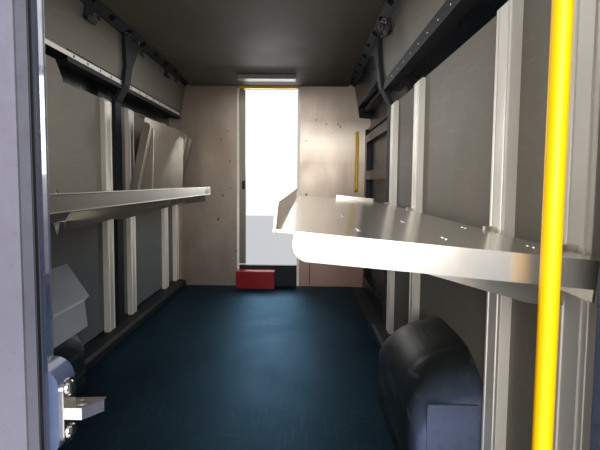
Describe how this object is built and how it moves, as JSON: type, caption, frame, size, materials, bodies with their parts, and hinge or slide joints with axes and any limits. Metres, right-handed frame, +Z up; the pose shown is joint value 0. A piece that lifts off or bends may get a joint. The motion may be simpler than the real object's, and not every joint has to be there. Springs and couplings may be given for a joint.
{
  "type": "van load compartment",
  "caption": "High-roof panel van load compartment with folding metal shelves, hinged rear doors, closed side door, bulkhead doorway and wheelhouses.",
  "frame": {"origin": "centre of the four body bolts, on the underside of the long rails", "axes": "+X to the vehicle's right, +Y forwards to the cab, +Z up"},
  "size_m": [2.079, 4.807, 2.268],
  "materials": {
    "body_blue": "gloss paint, slate blue",
    "roof_skin": "gloss paint, slate blue",
    "dark_steel": "satin dark blue primer",
    "mat_rubber": "worn smooth rubber",
    "lining_board": "matt grey board",
    "liner_board": "smooth brown-grey board",
    "post_alloy": "satin extruded",
    "shelf_alloy": "scratched mill finish",
    "bulkhead_alloy": "worn mill finish",
    "yellow_paint": "gloss powder coat",
    "red_paint": "worn gloss paint",
    "black_plastic": "grained",
    "chrome_steel": "polished",
    "lamp_cover": "frosted",
    "lamp_red": "moulded red lens",
    "cover_grey": "matt grey"
  },
  "bodies": {
    "compartment": {"belt_rails": "post_alloy", "bulkhead_left": "bulkhead_alloy", "bulkhead_right": "bulkhead_alloy", "cant_rails": "dark_steel", "door_hinges": "dark_steel", "doorway_lintel": "yellow_paint", "doorway_riser": "black_plastic", "floor_mat": "mat_rubber", "floor_pan": "dark_steel", "kerbs": "dark_steel", "lining_lower_left": "lining_board", "lining_lower_right": "lining_board", "lining_rear_left": "lining_board", "lining_upper_left": "lining_board", "lining_upper_right": "lining_board", "partition_track": "dark_steel", "pillars": "dark_steel", "posts_left": "post_alloy", "posts_right": "post_alloy", "rear_bumper": "black_plastic", "rear_frame": "body_blue", "rear_grab_pole": "yellow_paint", "red_step": "red_paint", "roof_lamp": "lamp_cover", "roof_liner": "liner_board", "roof_panel": "roof_skin", "shelf_brackets": "shelf_alloy", "side_door": "body_blue", "side_door_handle": "black_plastic", "side_door_rail": "black_plastic", "side_grab_handle": "yellow_paint", "side_strips": "black_plastic", "side_wall_left": "body_blue", "side_wall_right": "body_blue", "tail_lamps": "lamp_red", "underframe": "dark_steel", "wheelhouse_cover_left": "cover_grey", "wheelhouse_cover_right": "cover_grey", "wheelhouse_left": "dark_steel", "wheelhouse_right": "dark_steel"},
    "rear_door_left_body": {"rear_door_left": "body_blue", "rear_striker_left": "chrome_steel"},
    "rear_door_right_body": {"rear_door_right": "body_blue", "rear_handle_right": "black_plastic", "rear_latch_right": "chrome_steel"},
    "partition_body": {"partition_door": "bulkhead_alloy", "partition_latch": "dark_steel"},
    "shelf_left_rear_body": {"shelf_left_rear": "shelf_alloy", "shelf_arms_left_rear": "shelf_alloy"},
    "shelf_left_front_body": {"shelf_left_front": "shelf_alloy", "shelf_arms_left_front": "shelf_alloy"},
    "shelf_right_body": {"shelf_right": "shelf_alloy", "shelf_arms_right": "shelf_alloy", "shelf_slab": "shelf_alloy"}
  },
  "joints": [
    {"name": "rear_door_left_hinge", "type": "hinge", "parent": "compartment", "child": "rear_door_left_body", "pos_m": [-1.003, -1.91, 0.23], "axis": [0, 0, -1], "range_deg": [0, 180]},
    {"name": "rear_door_right_hinge", "type": "hinge", "parent": "compartment", "child": "rear_door_right_body", "pos_m": [1.003, -1.91, 0.23], "axis": [0, 0, 1], "range_deg": [-90, 90]},
    {"name": "partition_slide", "type": "slide", "parent": "compartment", "child": "partition_body", "axis": [1, 0, 0], "range_m": [0, 0.5]},
    {"name": "shelf_left_rear_fold", "type": "hinge", "parent": "compartment", "child": "shelf_left_rear_body", "pos_m": [-0.85, 0, 1.098], "axis": [0, -1, 0], "range_deg": [0, 72.6]},
    {"name": "shelf_left_front_fold", "type": "hinge", "parent": "compartment", "child": "shelf_left_front_body", "pos_m": [-0.85, 0, 1.098], "axis": [0, -1, 0], "range_deg": [-72.6, 0]},
    {"name": "shelf_right_fold", "type": "hinge", "parent": "compartment", "child": "shelf_right_body", "pos_m": [0.85, 0, 1.098], "axis": [0, 1, 0], "range_deg": [0, 72.6]}
  ]
}
